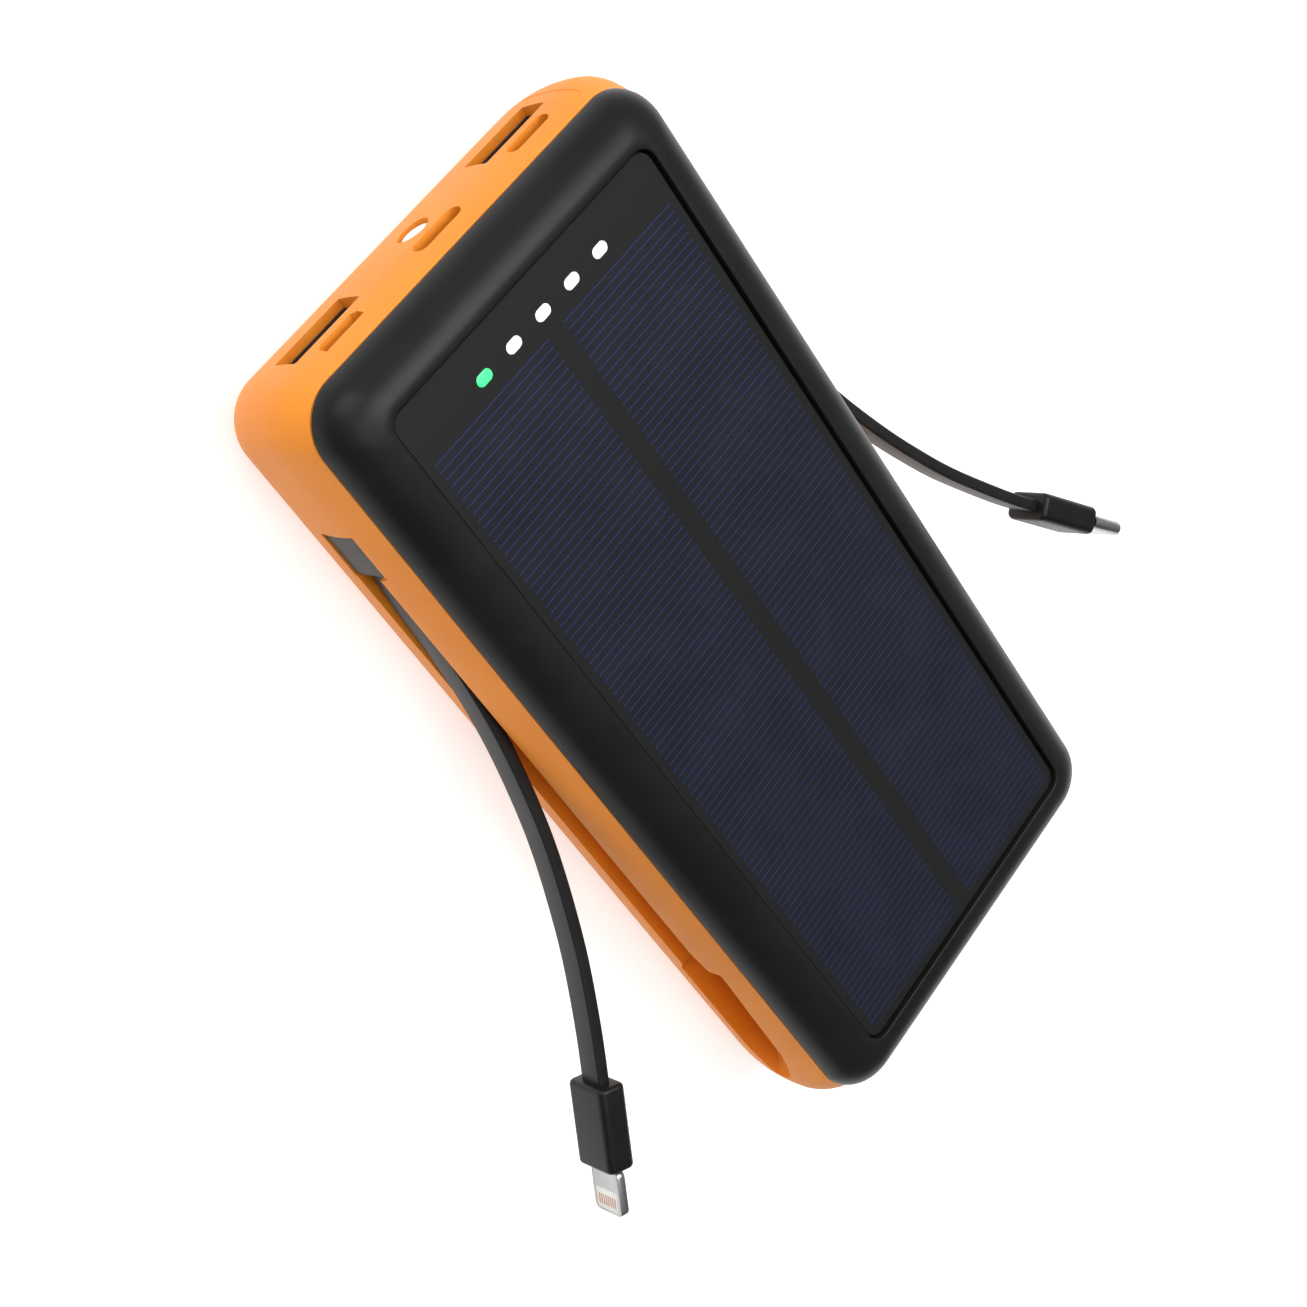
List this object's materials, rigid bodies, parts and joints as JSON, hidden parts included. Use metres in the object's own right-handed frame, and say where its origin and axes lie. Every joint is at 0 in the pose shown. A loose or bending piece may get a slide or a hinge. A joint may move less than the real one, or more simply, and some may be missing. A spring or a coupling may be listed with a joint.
{
  "type": "solar power bank",
  "caption": "Flat rounded power bank with a solar window on its face, sockets in one end and a captive flat charging cable on each long side.",
  "frame": {"origin": "on the back's flat face, below the middle of the casing", "axes": "+Z out of the back towards the solar window, +Y towards the end with the sockets, +X across the width, away from the side whose cable carries the slim plug"},
  "size_m": [0.1537, 0.1532, 0.0318],
  "materials": {
    "orange_plastic": "fine matt",
    "black_plastic": "satin",
    "panel_laminate": "satin laminate",
    "solar_cell": "satin with thin lines",
    "white_light": "translucent",
    "green_light": "translucent, lit",
    "cable_rubber": "satin",
    "plated_steel": "bright plated",
    "gold_contact": "plated",
    "circuit_board": "solder mask",
    "cell_foil": "laminated pouch",
    "grey_foam": "foam",
    "seal_rubber": "matt",
    "red_wire": "satin"
  },
  "bodies": {
    "casing": {"battery_cell_lower": "cell_foil", "battery_cell_upper": "cell_foil", "battery_lead_negative": "seal_rubber", "battery_lead_positive": "red_wire", "battery_pad_lower": "grey_foam", "battery_pad_upper": "grey_foam", "cable_anchor_left": "cable_rubber", "cable_anchor_right": "cable_rubber", "capacitor_1": "cell_foil", "capacitor_2": "cell_foil", "case_screw_1": "plated_steel", "case_screw_2": "plated_steel", "case_screw_3": "plated_steel", "case_screw_4": "plated_steel", "controller_chip": "black_plastic", "flat_cable_left": "cable_rubber", "flat_cable_right": "cable_rubber", "front_shell": "black_plastic", "indicator_board": "circuit_board", "indicator_light_1": "green_light", "indicator_light_2": "white_light", "indicator_light_3": "white_light", "indicator_light_4": "white_light", "indicator_light_5": "white_light", "inductor": "grey_foam", "main_board": "circuit_board", "micro_usb_socket": "plated_steel", "micro_usb_tongue": "circuit_board", "protection_board": "circuit_board", "rear_shell": "orange_plastic", "seam_seal": "seal_rubber", "slim_plug_contacts_left": "gold_contact", "slim_plug_contacts_right": "gold_contact", "slim_plug_housing": "black_plastic", "slim_plug_tab": "plated_steel", "small_input_socket": "plated_steel", "small_input_tongue": "circuit_board", "solar_cell_left": "solar_cell", "solar_cell_right": "solar_cell", "solar_lead_negative": "seal_rubber", "solar_lead_positive": "red_wire", "solar_panel_sheet": "panel_laminate", "switch_body": "black_plastic", "torch_led": "gold_contact", "torch_lens": "white_light", "torch_reflector": "plated_steel", "usb_a_socket_left": "plated_steel", "usb_a_socket_right": "plated_steel", "usb_a_tongue_left": "white_light", "usb_a_tongue_right": "white_light", "usb_c_plug_housing": "black_plastic", "usb_c_plug_insert": "black_plastic", "usb_c_plug_shell": "plated_steel", "usb_c_socket": "plated_steel", "usb_c_tongue": "circuit_board"},
    "button": {"power_button": "black_plastic"},
    "plunger": {"switch_plunger": "white_light"}
  },
  "joints": [
    {"name": "button_press", "type": "slide", "parent": "casing", "child": "button", "axis": [-1, 0, 0], "range_m": [0, 0.0005], "stiffness_N_per_m": 1000, "springref_m": -0.0005},
    {"name": "plunger_press", "type": "slide", "parent": "casing", "child": "plunger", "axis": [-1, 0, 0], "range_m": [0, 0.0005], "stiffness_N_per_m": 200}
  ],
  "couplings": [
    {"joint": "plunger_press", "follows": "button_press", "ratio": 1}
  ]
}
